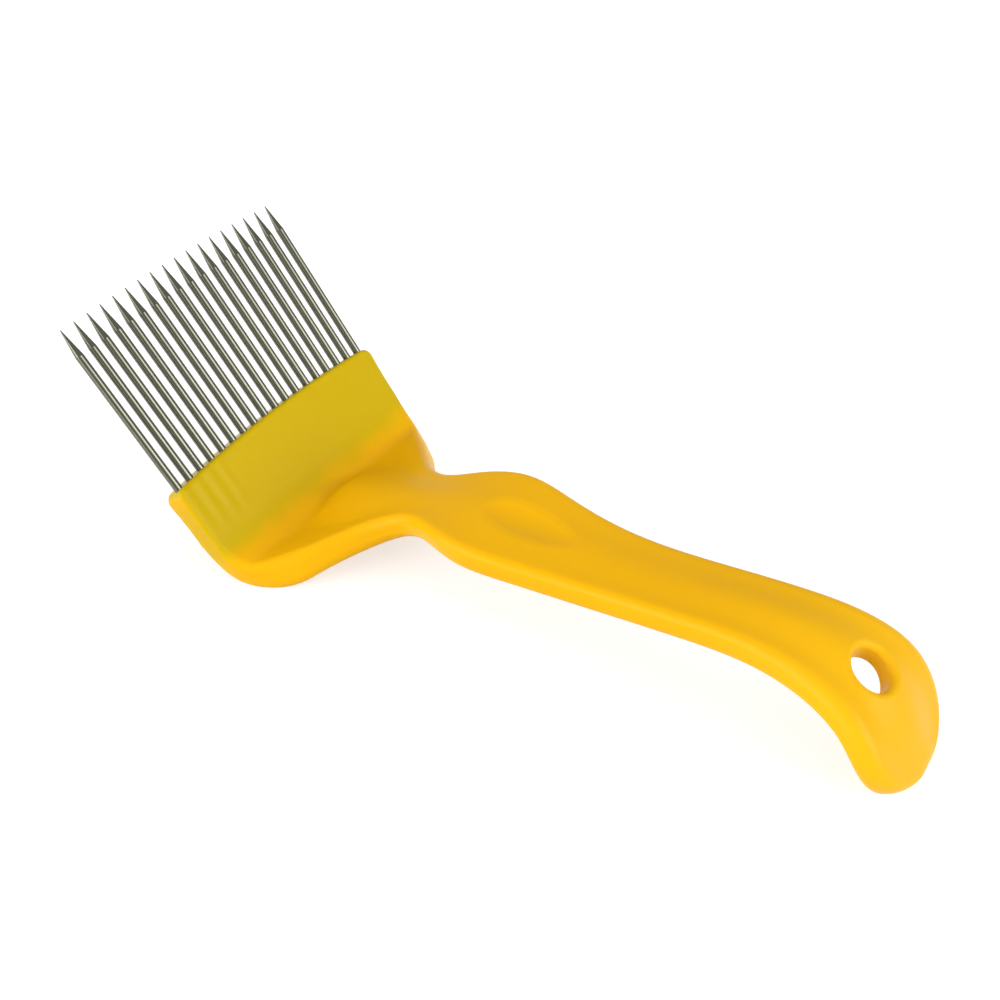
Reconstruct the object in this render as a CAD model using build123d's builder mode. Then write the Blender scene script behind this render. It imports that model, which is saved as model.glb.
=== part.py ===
from build123d import *
import math
import os
from collections import namedtuple

# Uncapping fork: a comb of long steel needles moulded into a cranked plastic handle.
# Millimetres. The tool stands as it is laid down on a bench: +Z up, resting on the heel of
# its head and on the tip of its end lobe, +X from the needles to the lobe, Y across.
# The origin is on the bench, under the middle of the tool's length.

os.makedirs("parts", exist_ok=True)

# Needle comb
NEEDLE_COUNT = 18
NEEDLE_PITCH = 3.75
NEEDLE_DIAMETER = 1.95
NEEDLE_LENGTH = 61.0
NEEDLE_POINT = 6.6          # length of the ground cone
NEEDLE_POINT_RADIUS = 0.12  # what is left of the wire at the very tip
NEEDLE_BEVEL = 0.25         # on the blunt end inside the head
NEEDLE_SPLAY = 0.027        # the row is this much wider at the tips than at the roots
NEEDLE_RISE = 51.8          # degrees, needles above the bench
TIP_REACH = 41.9            # outermost tips in front of the head's corners
TIP_BOW = 0.75              # middle tips stand this far in front of the outermost ones
GROOVE_WIDTH = 1.2          # anchoring groove near the blunt end, filled by the plastic
GROOVE_DEPTH = 0.2
GROOVE_FROM_END = 3.0

# Head
HEAD_FRONT_X = -17.6        # middle of the front face's corners, from the heel
HEAD_FRONT_Z = 21.8
FRONT_BOW = 1.75            # the front face is bowed forward by this much
FRONT_CORNER = 2.4          # plan radius of the two front corners
HEAD_HALF_WIDTH = 34.3
HEAD_REAR_HALF_WIDTH = 33.5  # the sides draw in towards the heel
HEAD_THICKNESS = 6.5
NEEDLES_OFF_MIDDLE = 1.0    # the row lies this much nearer to the head's upper face
HEAD_EDGE = 1.0             # rounding of the head's long edges
HEAD_FLAT = 12.2            # the head is flat this far behind its corners

# Handle
RIDGE_FOOT = 11.5           # the ridge over the neck fades out this far from the middle
HOLE_X = 128.8              # middle of the hanging hole, from the heel
HOLE_Z = 20.5
HOLE_DIAMETER = 9.0
HOLE_TILT = 19.0            # degrees, the hole's axis leans towards the lobe's end
HOLE_UPPER_RIM = 1.3        # radius of the rounded rims
HOLE_LOWER_RIM = 1.3
DIMPLE_X = 53.5             # middle of the thumb dimple, from the heel
DIMPLE_Z = 22.17            # height of the grip's upper face there
DIMPLE_SLOPE = -1.6         # degrees, the same face's slope there
DIMPLE_LENGTH = 25.0
DIMPLE_WIDTH = 11.0
DIMPLE_DEPTH = 1.1
DIMPLE_EDGE = 6.0           # radius that blends the dimple into the grip

# The heel stands this far in front of the middle of the tool's length.
HEEL_TO_MIDDLE = 49.6


def place(x, z):
    """Point in the middle plane, from its distance behind the heel and its height."""
    return Vector(x - HEEL_TO_MIDDLE, 0, z)


# The body's sections from the flat of the head to the lobe's end: the middle of the section,
# the slope of the body there in degrees, and the section's half width, thickness, lower and
# upper edge radius, the height of the soft ridge along the middle of its upper face, and the
# depth of the hollow along its under face.
Section = namedtuple("Section", "x z slope half_width thickness lower upper ridge hollow")


def flat_section(behind):
    """Section of the head's flat, this far behind its front corners."""
    rise = math.radians(NEEDLE_RISE)
    x = HEAD_FRONT_X + behind * math.cos(rise) - NEEDLES_OFF_MIDDLE * math.sin(rise)
    z = HEAD_FRONT_Z - behind * math.sin(rise) - NEEDLES_OFF_MIDDLE * math.cos(rise)
    width = HEAD_REAR_HALF_WIDTH
    return Section(x, z, -NEEDLE_RISE, width, HEAD_THICKNESS, HEAD_EDGE, HEAD_EDGE, 0, 0)


SECTIONS = [
    flat_section(HEAD_FLAT),
    flat_section(HEAD_FLAT + 1.5),
    Section(-5.8, 6.2, -46.0, 33.3, 6.8, 2.0, 2.2, 0.0, 0),
    Section(-1.9, 4.03, -22.0, 32.3, 7.2, 2.2, 2.6, 0.8, 0),
    Section(3.4, 4.03, 14.0, 29.4, 7.8, 2.4, 2.6, 2.3, 0),
    Section(10.0, 6.8, 29.0, 23.4, 7.2, 2.4, 2.4, 2.7, 0),
    Section(18.0, 10.9, 27.0, 14.2, 6.5, 2.3, 2.2, 1.2, 0),
    Section(27.0, 15.0, 21.0, 9.5, 6.0, 2.2, 2.1, 0.4, 0),
    Section(35.0, 17.7, 14.0, 12.0, 6.0, 2.2, 2.1, 0.3, 0),
    Section(44.0, 18.9, 1.0, 14.7, 6.2, 2.2, 2.1, 0.4, 0),
    Section(56.0, 18.4, -3.0, 13.3, 6.3, 2.2, 2.1, 0.4, 0),
    Section(72.0, 18.2, 2.0, 10.9, 6.3, 2.2, 2.1, 0.4, 0),
    Section(92.0, 20.2, 7.0, 10.1, 6.3, 2.2, 2.2, 0.5, 0),
    Section(110.0, 22.0, 0.0, 10.8, 6.3, 2.1, 2.5, 0.8, 0.3),
    Section(121.5, 21.1, -16.0, 12.7, 5.9, 1.8, 3.0, 1.1, 1.0),
    Section(130.3, 17.1, -38.0, 14.7, 5.5, 1.6, 3.2, 1.2, 1.0),
    Section(136.0, 10.2, -53.0, 15.5, 5.6, 1.7, 3.4, 1.0, 0.8),
    Section(139.4, 4.9, -52.0, 12.9, 5.4, 1.7, 3.1, 0.5, 0.3),
    Section(141.6, 2.1, -48.0, 8.0, 4.6, 1.6, 2.6, 0.2, 0),
    Section(142.5, 1.1, -46.0, 4.2, 3.2, 1.1, 1.8, 0.0, 0),
]


def section_plane(station):
    """Plane across the body: its x is the tool's width, its y the body's upper side."""
    slope = math.radians(station.slope)
    return Plane(
        origin=place(station.x, station.z),
        x_dir=(0, 1, 0),
        z_dir=(math.cos(slope), 0, math.sin(slope)),
    )


def section_sketch(station):
    """Rounded rectangle whose upper side swells to a soft ridge along the middle."""
    half = station.thickness / 2
    side = station.half_width
    top = side - station.upper
    bottom = side - station.lower
    foot = min(RIDGE_FOOT, 0.7 * top)
    with BuildSketch(section_plane(station)) as sketch:
        with BuildLine():
            if station.hollow:
                ThreePointArc((-bottom, -half), (0, station.hollow - half), (bottom, -half))
            else:
                Line((-bottom, -half), (bottom, -half))
            CenterArc((bottom, station.lower - half), station.lower, -90, 90)
            Line((side, station.lower - half), (side, half - station.upper))
            CenterArc((top, half - station.upper), station.upper, 0, 90)
            Spline(
                (top, half),
                (foot, half + 0.04 * station.ridge),
                (foot / 2, half + 0.62 * station.ridge),
                (0, half + station.ridge),
                (-foot / 2, half + 0.62 * station.ridge),
                (-foot, half + 0.04 * station.ridge),
                (-top, half),
                tangents=((-1, 0), (-1, 0)),
            )
            CenterArc((-top, half - station.upper), station.upper, 90, 90)
            Line((-side, half - station.upper), (-side, station.lower - half))
            CenterArc((-bottom, station.lower - half), station.lower, 180, 90)
        make_face()
    return sketch.sketch


# --- Needles ------------------------------------------------------------------------------
# The comb's own plane: x across the row, y towards the tips, z off the head's upper face.
rise = math.radians(NEEDLE_RISE)
comb_plane = Plane(
    origin=place(HEAD_FRONT_X, HEAD_FRONT_Z),
    x_dir=(0, 1, 0),
    z_dir=(math.sin(rise), 0, math.cos(rise)),
)


def is_long_edge(edge):
    """True for the outline edges of the head's two faces, except where the body joins on."""
    middle = comb_plane.to_local_coords(edge.center())
    from_middle = abs(middle.Z + NEEDLES_OFF_MIDDLE)
    return from_middle > HEAD_THICKNESS / 2 - 0.1 and middle.Y > 0.1 - HEAD_FLAT


def needle_plane(index):
    """Plane of one needle's profile: origin at the tip, y back along the needle."""
    offset = index - (NEEDLE_COUNT - 1) / 2
    share = offset / ((NEEDLE_COUNT - 1) / 2)
    across = offset * NEEDLE_PITCH * (1 + NEEDLE_SPLAY)
    along = TIP_REACH + TIP_BOW * (1 - share**2)
    lean = math.atan2(offset * NEEDLE_PITCH * NEEDLE_SPLAY, TIP_REACH)
    tip = comb_plane.from_local_coords(Vector(across, along, 0))
    back = comb_plane.x_dir * -math.sin(lean) + comb_plane.y_dir * -math.cos(lean)
    return Plane(origin=tip, x_dir=comb_plane.z_dir, z_dir=comb_plane.z_dir.cross(back))


def groove_points(radius):
    """Corners of the anchoring groove's profile, from the blunt end towards the tip."""
    end = NEEDLE_LENGTH - GROOVE_FROM_END
    floor = radius - GROOVE_DEPTH
    return [
        (radius, end),
        (floor, end - GROOVE_DEPTH),
        (floor, end - GROOVE_WIDTH),
        (radius, end - GROOVE_WIDTH - GROOVE_DEPTH),
    ]


needles = []
for index in range(NEEDLE_COUNT):
    radius = NEEDLE_DIAMETER / 2
    plane = needle_plane(index)
    with BuildPart() as needle:
        with BuildSketch(plane):
            with BuildLine():
                Polyline(
                    (0, 0),
                    (0, NEEDLE_LENGTH),
                    (radius - NEEDLE_BEVEL, NEEDLE_LENGTH),
                    (radius, NEEDLE_LENGTH - NEEDLE_BEVEL),
                    *groove_points(radius),
                    (radius, NEEDLE_POINT),
                    (NEEDLE_POINT_RADIUS, 0),
                    close=True,
                )
            make_face()
        revolve(axis=Axis(plane.origin, plane.y_dir))
    name = f"needle_{index + 1:02d}"
    needle.part.label = name
    export_step(needle.part, f"parts/{name}.step")
    needles.append(needle)

# --- Handle -------------------------------------------------------------------------------
hole_tilt = math.radians(HOLE_TILT)
hole_plane = Plane(
    origin=place(HOLE_X, HOLE_Z),
    x_dir=(0, 1, 0),
    z_dir=(math.sin(hole_tilt), 0, math.cos(hole_tilt)),
)

# Turning a shallow arc about an axis above the grip hollows an oval dimple.
dimple_axis_height = (DIMPLE_WIDTH**2 / 4 - DIMPLE_DEPTH**2) / (2 * DIMPLE_DEPTH)
dimple_slope = math.radians(DIMPLE_SLOPE)
dimple_plane = Plane(
    origin=place(DIMPLE_X, DIMPLE_Z),
    x_dir=(math.cos(dimple_slope), 0, math.sin(dimple_slope)),
    z_dir=(0, -1, 0),
)

with BuildPart() as handle:
    # Flat of the head
    with BuildSketch(comb_plane.offset(-NEEDLES_OFF_MIDDLE)):
        with BuildLine():
            rear_left = (-HEAD_REAR_HALF_WIDTH, -HEAD_FLAT)
            rear_right = (HEAD_REAR_HALF_WIDTH, -HEAD_FLAT)
            front_left = (-HEAD_HALF_WIDTH, 0)
            front_right = (HEAD_HALF_WIDTH, 0)
            # The sides leave the rear edge square to it, so that they run on into the body's.
            Line(rear_left, rear_right)
            TangentArc(rear_right, front_right, tangent=(0, 1))
            ThreePointArc(front_right, (0, FRONT_BOW), front_left)
            TangentArc(rear_left, front_left, tangent=(0, 1))
        flat_face = make_face()
        fillet(flat_face.vertices().sort_by(Axis.Y)[-2:], FRONT_CORNER)
    extrude(amount=HEAD_THICKNESS / 2, both=True)
    fillet(handle.edges().filter_by(is_long_edge), HEAD_EDGE)

    # Heel, neck, grip and lobe
    loft([section_sketch(station) for station in SECTIONS])

    # Thumb dimple
    with BuildSketch(dimple_plane):
        with BuildLine():
            half_length = DIMPLE_LENGTH / 2
            ThreePointArc((-half_length, 0), (0, -DIMPLE_DEPTH), (half_length, 0))
            Polyline(
                (half_length, 0),
                (half_length, dimple_axis_height),
                (-half_length, dimple_axis_height),
                (-half_length, 0),
            )
        make_face()
    revolve(
        axis=Axis(
            dimple_plane.from_local_coords(Vector(0, dimple_axis_height, 0)),
            dimple_plane.x_dir,
        ),
        mode=Mode.SUBTRACT,
    )
    fillet(handle.edges(Select.LAST), DIMPLE_EDGE)

    # Hanging hole with soft rims
    with BuildSketch(hole_plane):
        Circle(HOLE_DIAMETER / 2)
    extrude(amount=15, both=True, mode=Mode.SUBTRACT)
    rims = handle.edges(Select.LAST).filter_by(lambda edge: edge.length > 20).sort_by(Axis.Z)
    fillet(rims[0], HOLE_LOWER_RIM)
    fillet(rims[-1], HOLE_UPPER_RIM)

    # The plastic is moulded round the needles, groove and all
    for needle in needles:
        add(needle.part, mode=Mode.SUBTRACT)

print("handle", handle.part.is_valid, handle.part.volume, handle.part.bounding_box())
handle.part.label = "handle"
export_step(handle.part, "parts/handle.step")
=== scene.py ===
# %% [markdown]
# # An uncapping fork
#
# A beekeeper lifts the wax lids off honeycomb with this tool: a comb of pointed steel
# needles moulded into a cranked yellow plastic handle. The solids of all the pieces come
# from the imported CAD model. This script gives them their finishes, and sets up a small
# studio with a floor, two soft lights and a camera.

import math

import bpy
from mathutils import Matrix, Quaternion, Vector


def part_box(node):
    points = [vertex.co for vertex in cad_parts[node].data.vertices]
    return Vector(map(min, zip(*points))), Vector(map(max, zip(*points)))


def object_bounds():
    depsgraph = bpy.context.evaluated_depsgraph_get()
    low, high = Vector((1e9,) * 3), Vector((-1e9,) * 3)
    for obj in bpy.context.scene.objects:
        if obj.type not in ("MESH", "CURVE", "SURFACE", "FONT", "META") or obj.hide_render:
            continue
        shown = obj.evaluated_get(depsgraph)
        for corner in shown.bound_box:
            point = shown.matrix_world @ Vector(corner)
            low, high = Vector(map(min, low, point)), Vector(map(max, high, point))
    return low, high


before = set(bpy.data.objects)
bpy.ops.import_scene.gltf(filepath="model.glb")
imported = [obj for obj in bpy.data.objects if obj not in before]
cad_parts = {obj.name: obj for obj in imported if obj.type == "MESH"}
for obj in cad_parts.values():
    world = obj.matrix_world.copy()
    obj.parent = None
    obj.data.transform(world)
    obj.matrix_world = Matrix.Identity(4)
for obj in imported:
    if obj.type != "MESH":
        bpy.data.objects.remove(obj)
cad_low, cad_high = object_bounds()
centre = (cad_low + cad_high) / 2
size = cad_high - cad_low
print("nodes:", len(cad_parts))
print("size in mm:", [round(1000 * side, 1) for side in size])

# %% [markdown]
# ## Where the head lies
#
# The finish of the head changes over the buried ends of the needles, so their direction,
# their spacing and the place where they end are worked out first. They could be typed in,
# but the needles' own boxes already hold them: a needle's tip is its box's low x and high
# z corner, and its blunt end is the opposite one.

# %% Needle direction and the head's front
FRONT_HEIGHT = 0.0224  # metres, how high the middle of the head's front face lies

needle_names = sorted(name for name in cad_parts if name.startswith("needle"))
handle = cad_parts["handle"]
middle_low, middle_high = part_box(needle_names[len(needle_names) // 2])
tip = Vector((middle_low.x, 0, middle_high.z))
blunt_end = Vector((middle_high.x, 0, middle_low.z))
towards_tip = (tip - blunt_end).normalized()
needles_end = blunt_end.dot(towards_tip)

handle_low, handle_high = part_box("handle")
head_front = Vector((handle_low.x, 0, FRONT_HEIGHT)).dot(towards_tip)


def needle_middle(name):
    """How far across the head a needle's middle lies."""
    low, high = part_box(name)
    return (low.y + high.y) / 2


across_head = sorted(needle_middle(name) for name in needle_names)
first_across, last_across = across_head[0], across_head[-1]
spacing = (last_across - first_across) / (len(across_head) - 1)
print("needles rise by", round(math.degrees(math.asin(towards_tip.z)), 1), "degrees")
print("buried length in mm:", round(1000 * (head_front - needles_end), 1))
print("spacing in mm:", round(1000 * spacing, 2))

# %% [markdown]
# ## Shader tools
#
# Both finishes are built from the same few kinds of node, so a small helper adds a node,
# sets its values and joins its inputs. Building the graphs by hand in the editor gives the
# same result, but in code the graph can be read and changed in one place.

# %% Node helpers


def add_node(tree, kind, values=None, **settings):
    """A new node. Values are numbers, colours or sockets, by input name or place."""
    node = tree.nodes.new(kind)
    for name, setting in settings.items():
        setattr(node, name, setting)
    for name, value in (values or {}).items():
        if isinstance(value, bpy.types.NodeSocket):
            tree.links.new(value, node.inputs[name])
        else:
            node.inputs[name].default_value = value
    return node


def calculate(tree, operation, first, second=0.0, third=0.0):
    """Output of a Math node, from sockets or numbers."""
    node = add_node(tree, "ShaderNodeMath", {0: first, 1: second, 2: third}, operation=operation)
    return node.outputs[0]


def ease(tree, value, start, end):
    """0 before start, 1 after end, and a smooth rise between them."""
    values = {"Value": value, "From Min": start, "From Max": end}
    node = add_node(tree, "ShaderNodeMapRange", values, interpolation_type="SMOOTHSTEP")
    return node.outputs["Result"]


def noise(tree, position, scale, detail):
    """Soft noise, 0 to 1, over the position."""
    values = {"Vector": position, "Scale": scale, "Detail": detail}
    return add_node(tree, "ShaderNodeTexNoise", values).outputs["Fac"]


def bump(tree, height, distance, strength, below=None):
    """A normal tilted by a height, on top of another normal if there is one below."""
    values = {"Height": height, "Distance": distance, "Strength": strength}
    if below is not None:
        values["Normal"] = below
    return add_node(tree, "ShaderNodeBump", values).outputs[0]


def blend_colours(tree, share, first, second):
    """First colour where share is 0, second where it is 1."""
    node = add_node(tree, "ShaderNodeMix", {"Factor": share}, data_type="RGBA")
    for place, colour in ((6, first), (7, second)):
        if isinstance(colour, bpy.types.NodeSocket):
            tree.links.new(colour, node.inputs[place])
        else:
            node.inputs[place].default_value = colour
    return node.outputs[2]


def new_material(name):
    """An empty material with its output node."""
    material = bpy.data.materials.new(name)
    material.use_nodes = True
    tree = material.node_tree
    tree.nodes.clear()
    return material, tree, tree.nodes.new("ShaderNodeOutputMaterial")


def paint(obj, material):
    """The object gets this one material."""
    obj.data.materials.clear()
    obj.data.materials.append(material)


# %% [markdown]
# ## Wear shared by both finishes
#
# Handled tools pick up fine scuffs: short, faint scratches and smudges that change how
# rough the surface is, and hardly its colour. Plastic and steel both show them, so they
# are one node group with a scale input for each kind of mark, used once in each material.
# It puts out a mask of smudges and a height for fine scratches. Painting the scuffs would
# need an image, and noise in the object's own coordinates does without one.

# %% Handling marks, a node group


def handling_marks_group():
    """Smudges (0 to 1) and Scratches (a height, 0 to 1) over any surface."""
    group = bpy.data.node_groups.new("handling_marks", "ShaderNodeTree")
    for name, kind, value in (
        ("Position", "NodeSocketVector", None),
        ("Smudge Scale", "NodeSocketFloat", 60.0),
        ("Scratch Scale", "NodeSocketFloat", 400.0),
    ):
        socket = group.interface.new_socket(name, in_out="INPUT", socket_type=kind)
        if value is not None:
            socket.default_value = value
    for name in ("Smudges", "Scratches"):
        group.interface.new_socket(name, in_out="OUTPUT", socket_type="NodeSocketFloat")
    start = group.nodes.new("NodeGroupInput").outputs
    end = group.nodes.new("NodeGroupOutput")

    cloud = noise(group, start["Position"], start["Smudge Scale"], 4.0)
    group.links.new(ease(group, cloud, 0.42, 0.68), end.inputs["Smudges"])

    stretched = add_node(
        group,
        "ShaderNodeMapping",
        {"Vector": start["Position"], "Rotation": (0.3, 0.2, 0.7), "Scale": (0.06, 1.0, 1.0)},
    )
    fine = noise(group, stretched.outputs[0], start["Scratch Scale"], 3.0)
    group.links.new(ease(group, fine, 0.62, 0.72), end.inputs["Scratches"])
    return group


handling_marks = handling_marks_group()


def add_marks(tree, position, smudge_scale, scratch_scale):
    """The group placed in a material, with that material's scales."""
    marks = add_node(tree, "ShaderNodeGroup", node_tree=handling_marks)
    tree.links.new(position, marks.inputs["Position"])
    marks.inputs["Smudge Scale"].default_value = smudge_scale
    marks.inputs["Scratch Scale"].default_value = scratch_scale
    return marks.outputs


print("group outputs:", [item.name for item in handling_marks.interface.items_tree])

# %% [markdown]
# ## Sink ridges
#
# Over the buried needles the plastic shrank a little less than between them as it cooled,
# which left a few faint ridges near one front corner of the head, in line with the first
# needles. They are a twentieth of a millimetre high, too low to be worth a mesh, so they
# are a wave of height for a bump: a cosine across the head with one crest over each
# needle, faded out towards the middle of the head and behind the front.

# %% Ridge height
RIDGES_ACROSS = 4.2
RIDGES_BACK = 0.019


def ridge_height(tree, across, along):
    """Height of the sink ridges, 0 to 1, with crests over the first few needles."""
    needle = calculate(tree, "MULTIPLY_ADD", across, 1 / spacing, -first_across / spacing)
    turns = calculate(tree, "MULTIPLY", needle, 2 * math.pi)
    wave = calculate(tree, "COSINE", turns)
    near_side = ease(tree, needle, RIDGES_ACROSS, RIDGES_ACROSS - 2.0)
    inside = ease(tree, needle, -0.55, -0.1)
    near_front = ease(tree, along, head_front - RIDGES_BACK, head_front - 0.4 * RIDGES_BACK)
    height = calculate(tree, "MULTIPLY", wave, near_side)
    height = calculate(tree, "MULTIPLY", height, inside)
    return calculate(tree, "MULTIPLY", height, near_front)


print("ridges over", round(RIDGES_ACROSS), "needles,", 1000 * RIDGES_BACK, "mm long")

# %% [markdown]
# ## Yellow plastic
#
# The handle is injection moulded in one warm yellow plastic. It is smooth, but not a
# mirror: a fine mould finish and the shrinking plastic soften its highlights. The plastic
# lets a little light through. Where the steel needles are close under the surface, as in
# the flat of the head, less light comes back and the yellow turns duller and greener. This
# slow change could come from real subsurface scattering alone, but that is slow to render
# and is lost on export, so most of it is painted in the base colour by position, and only
# a little scattering is left to soften the shading. The end lobe is painted lighter and
# more lemon too: that is painted light, standing in for the light and soft highlight that
# the light on the right puts on the lobe's slope.

# %% Plastic finish
PLASTIC = (0.83, 0.43, 0.002, 1)
# painted light: a lighter, more lemon yellow for the lobe's slope, where the right light falls
PLASTIC_LOBE_PAINTED_LIGHT = (0.85, 0.46, 0.006, 1)
PLASTIC_OVER_STEEL = (0.565, 0.395, 0.001, 1)
LOBE_START = 0.040
LOBE_END = 0.085
PLASTIC_ROUGHNESS = 0.29
PLASTIC_SMUDGED = 0.07  # how much rougher a smudge is


def steel_underneath(tree, position, parts, along):
    """1 where needles lie under the surface, 0 elsewhere, with a soft uneven edge."""
    drift = noise(tree, position, 110.0, 1.0)
    uneven = calculate(tree, "MULTIPLY_ADD", drift, 0.004, along)
    over_ends = ease(tree, uneven, needles_end - 0.001, needles_end + 0.006)
    top = ease(tree, parts["X"], -0.047, -0.052)
    inner = ease(tree, parts["Y"], first_across - 0.0026, first_across - 0.0008)
    outer = ease(tree, parts["Y"], last_across + 0.0026, last_across + 0.0008)
    mask = calculate(tree, "MULTIPLY", over_ends, top)
    mask = calculate(tree, "MULTIPLY", mask, inner)
    return calculate(tree, "MULTIPLY", mask, outer)


def plastic_material():
    """Smooth moulded yellow, greener over the needles, with painted light in the lobe."""
    material, tree, output = new_material("moulded_yellow_plastic")
    position = tree.nodes.new("ShaderNodeTexCoord").outputs["Object"]
    parts = add_node(tree, "ShaderNodeSeparateXYZ", {0: position}).outputs
    along = add_node(
        tree,
        "ShaderNodeVectorMath",
        {0: position, 1: towards_tip},
        operation="DOT_PRODUCT",
    ).outputs["Value"]
    # painted light: the share of the lobe that gets the lighter yellow
    lobe_painted_light = ease(tree, parts["X"], LOBE_START, LOBE_END)
    over_steel = steel_underneath(tree, position, parts, along)

    marks = add_marks(tree, position, 45.0, 900.0)

    # painted light: the lobe is blended towards the lighter, more lemon yellow
    colour = blend_colours(tree, lobe_painted_light, PLASTIC, PLASTIC_LOBE_PAINTED_LIGHT)
    colour = blend_colours(tree, over_steel, colour, PLASTIC_OVER_STEEL)
    roughness = calculate(
        tree, "MULTIPLY_ADD", marks["Smudges"], PLASTIC_SMUDGED, PLASTIC_ROUGHNESS
    )

    wavy = bump(tree, noise(tree, position, 90.0, 1.0), 0.0004, 0.12)
    ridged = bump(tree, ridge_height(tree, parts["Y"], along), 0.00006, 1.0, wavy)
    scratched = bump(tree, marks["Scratches"], 0.00002, 0.1, ridged)
    shader = add_node(
        tree,
        "ShaderNodeBsdfPrincipled",
        {
            "Base Color": colour,
            "Roughness": roughness,
            "Normal": scratched,
            "IOR": 1.49,
            "Specular IOR Level": 0.1,
            "Subsurface Weight": 0.15,
            "Subsurface Radius": (1.0, 0.5, 0.05),
            "Subsurface Scale": 0.002,
        },
    )
    tree.links.new(shader.outputs[0], output.inputs["Surface"])
    return material


plastic = plastic_material()
paint(handle, plastic)
print("plastic nodes:", len(plastic.node_tree.nodes))

# %% [markdown]
# ## Needle steel
#
# The needles are straight lengths of drawn stainless wire with ground points. Drawing
# leaves fine lines along the wire, some a little brighter than others. The lines could be
# modelled, but they are far finer than a mesh should be, so they are noise that is
# stretched along the wire. The ground point shares them, and its slope alone sets it off:
# it mirrors another part of the room than the shank does.

# %% Steel finish
STEEL = (0.145, 0.145, 0.108, 1)
STEEL_BRIGHT = (0.19, 0.19, 0.145, 1)
STEEL_ROUGHNESS = 0.12
STEEL_SMUDGED = 0.06  # how much rougher a smudge is


def steel_material():
    """Drawn wire: fine lines of brighter steel along the needle, under faint smudges."""
    material, tree, output = new_material("drawn_needle_steel")
    position = tree.nodes.new("ShaderNodeTexCoord").outputs["Object"]
    turned = add_node(
        tree,
        "ShaderNodeMapping",
        {
            "Vector": position,
            "Rotation": (0, math.asin(towards_tip.z) - math.pi / 2, 0),
            "Scale": (1.0, 1.0, 0.02),
        },
    )
    lines = noise(tree, turned.outputs[0], 5000.0, 3.0)
    marks = add_marks(tree, position, 150.0, 1500.0)

    colour = blend_colours(tree, ease(tree, lines, 0.3, 0.7), STEEL, STEEL_BRIGHT)
    roughness = calculate(
        tree, "MULTIPLY_ADD", marks["Smudges"], STEEL_SMUDGED, STEEL_ROUGHNESS
    )
    shader = add_node(
        tree,
        "ShaderNodeBsdfPrincipled",
        {
            "Base Color": colour,
            "Metallic": 1.0,
            "Roughness": roughness,
            "Normal": bump(tree, lines, 0.000004, 0.1),
        },
    )
    tree.links.new(shader.outputs[0], output.inputs["Surface"])
    return material


steel = steel_material()
for name in needle_names:
    paint(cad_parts[name], steel)
print("steel on", len(needle_names), "needles")

# %% [markdown]
# ## Floor
#
# The tool lies on one wide pale sheet. The camera looks down so far that the sheet fills
# the whole picture, and no wall or curved backdrop is needed behind it. The sheet's own
# light is only seen by the camera and in reflections, so it makes the background white
# without adding light to the tool, and the tool's shadow stays.

# %% Floor
FLOOR_COLOUR = (0.6, 0.6, 0.6, 1)
FLOOR_GLOW = 0.6
FLOOR_REACH = 3.0


def floor_material():
    """Matt white that the camera and reflections see a little brighter than it is lit."""
    material, tree, output = new_material("studio_floor")
    rays = tree.nodes.new("ShaderNodeLightPath").outputs
    seen = calculate(tree, "MAXIMUM", rays["Is Camera Ray"], rays["Is Glossy Ray"])
    seen = calculate(tree, "MAXIMUM", seen, rays["Is Transmission Ray"])
    glow = calculate(tree, "MULTIPLY", seen, FLOOR_GLOW)
    shader = add_node(
        tree,
        "ShaderNodeBsdfPrincipled",
        {
            "Base Color": FLOOR_COLOUR,
            "Roughness": 0.9,
            "Specular IOR Level": 0.1,
            "Emission Color": (1, 1, 1, 1),
            "Emission Strength": glow,
        },
    )
    tree.links.new(shader.outputs[0], output.inputs["Surface"])
    return material


bpy.ops.object.select_all(action="DESELECT")
bpy.ops.mesh.primitive_plane_add(size=2 * FLOOR_REACH, location=(centre.x, centre.y, 0))
floor = bpy.context.object
floor.name = "floor"
paint(floor, floor_material())
print("floor is", 2 * FLOOR_REACH, "m across")

# %% [markdown]
# ## Light
#
# Two large soft lights stand low beside the tool, one in front of it and one to its right,
# and the rest of the room is dimmer. So the sides of the handle and the slope of its end
# lobe are brighter than its top. The light on the right also draws a bright line along
# each needle and a soft highlight on the lobe. What the top of the handle and the rest of
# each needle reflect is the dimmer room, which keeps the yellow deep and the steel dark. A
# plain white surround would wash a grey veil over both. Each light is a round spot in the
# world with a soft edge, because lamps of that size would take longer to render.

# %% Surround and its two lights
ROOM_STRENGTH = 0.56
# For each light, in degrees: its angle to the right of -y, its height, and how far from its
# middle the full light ends and has faded out. Last comes its strength above the room's.
LIGHTS = {
    "front": (-26, 8, 25, 45, 3.5),
    "right": (98, 19, 15, 29, 4.2),
}


def direction_at(azimuth, height):
    """A direction from its angle to the right of -y and its angle above the floor."""
    flat = math.cos(height)
    return Vector((math.sin(azimuth) * flat, -math.cos(azimuth) * flat, math.sin(height)))


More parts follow.
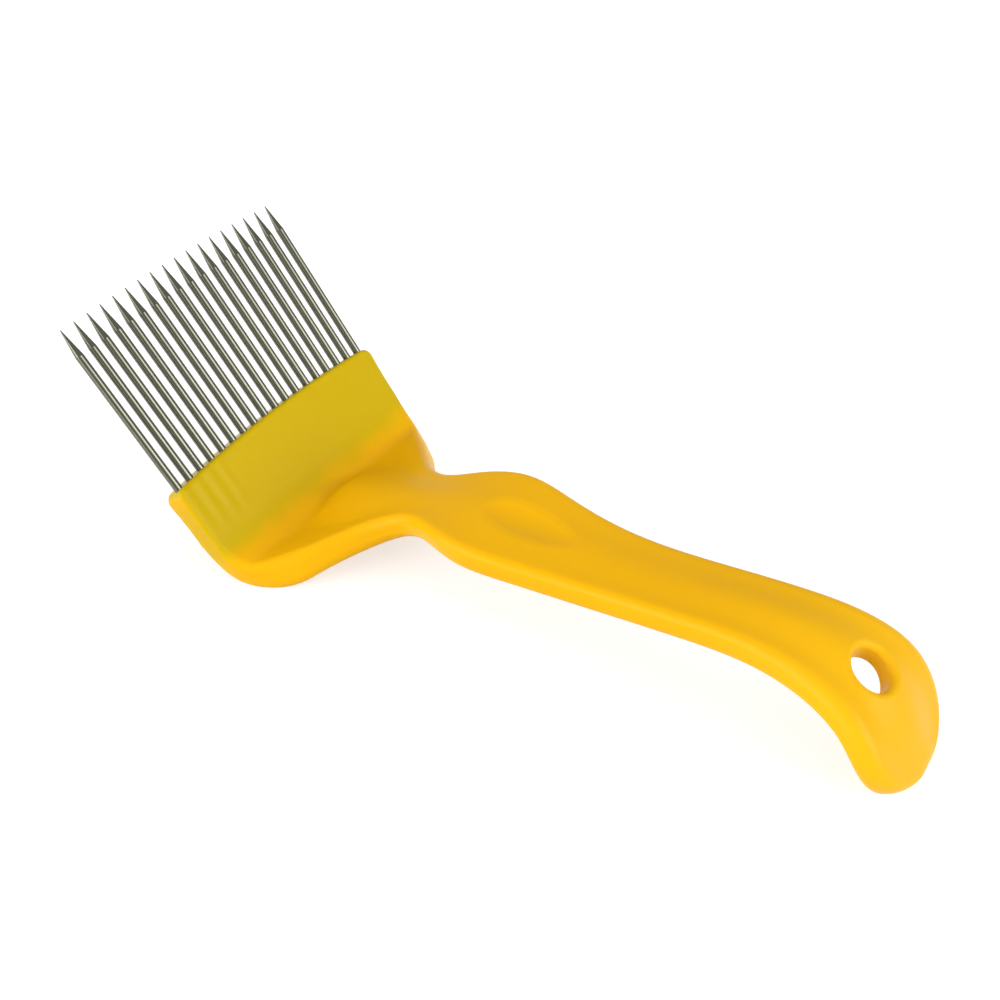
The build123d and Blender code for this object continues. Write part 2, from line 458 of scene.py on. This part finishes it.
world = bpy.data.worlds.new("studio_surround")
bpy.context.scene.world = world
world.use_nodes = True
world_tree = world.node_tree
world_tree.nodes.clear()
direction = world_tree.nodes.new("ShaderNodeTexCoord").outputs["Generated"]
strength = ROOM_STRENGTH
for name, (*angles, extra) in LIGHTS.items():
    azimuth, height, core, edge = [math.radians(angle) for angle in angles]
    towards_light = direction_at(azimuth, height)
    facing = add_node(
        world_tree,
        "ShaderNodeVectorMath",
        {0: direction, 1: towards_light},
        operation="DOT_PRODUCT",
    ).outputs["Value"]
    share = ease(world_tree, facing, math.cos(edge), math.cos(core))
    strength = calculate(world_tree, "MULTIPLY_ADD", share, extra, strength)
    print(name, "light stands towards", [round(c, 2) for c in towards_light])
surround = add_node(
    world_tree, "ShaderNodeBackground", {"Color": (1, 1, 1, 1), "Strength": strength}
)
world_output = world_tree.nodes.new("ShaderNodeOutputWorld")
world_tree.links.new(surround.outputs[0], world_output.inputs["Surface"])

# %% [markdown]
# ## Camera
#
# The camera looks down on the tool from the front right. Its place is given as an angle
# round the tool, an angle above the floor and a distance from the point it looks at, which
# is easier to picture than three coordinates and a rotation.

# %% Camera
VIEW_AZIMUTH = math.radians(33.27)
VIEW_ELEVATION = math.radians(40.17)
VIEW_ROLL = math.radians(-0.54)
VIEW_DISTANCE = 0.3159
LOOK_AT = Vector((-0.0202, 0.0247, 0.0))
LENS_MM = 46.82
SENSOR_MM = 36.0

back = direction_at(VIEW_AZIMUTH, VIEW_ELEVATION)
camera_data = bpy.data.cameras.new("camera")
camera_data.lens = LENS_MM
camera_data.sensor_width = SENSOR_MM
camera = bpy.data.objects.new("camera", camera_data)
camera.location = LOOK_AT + back * VIEW_DISTANCE
camera.rotation_mode = "QUATERNION"
level = (-back).to_track_quat("-Z", "Y")
camera.rotation_quaternion = level @ Quaternion((0, 0, 1), VIEW_ROLL)
bpy.context.scene.collection.objects.link(camera)
bpy.context.scene.camera = camera
bpy.context.scene.view_settings.view_transform = "Standard"
print("camera at", [round(1000 * c) for c in camera.location], "mm")
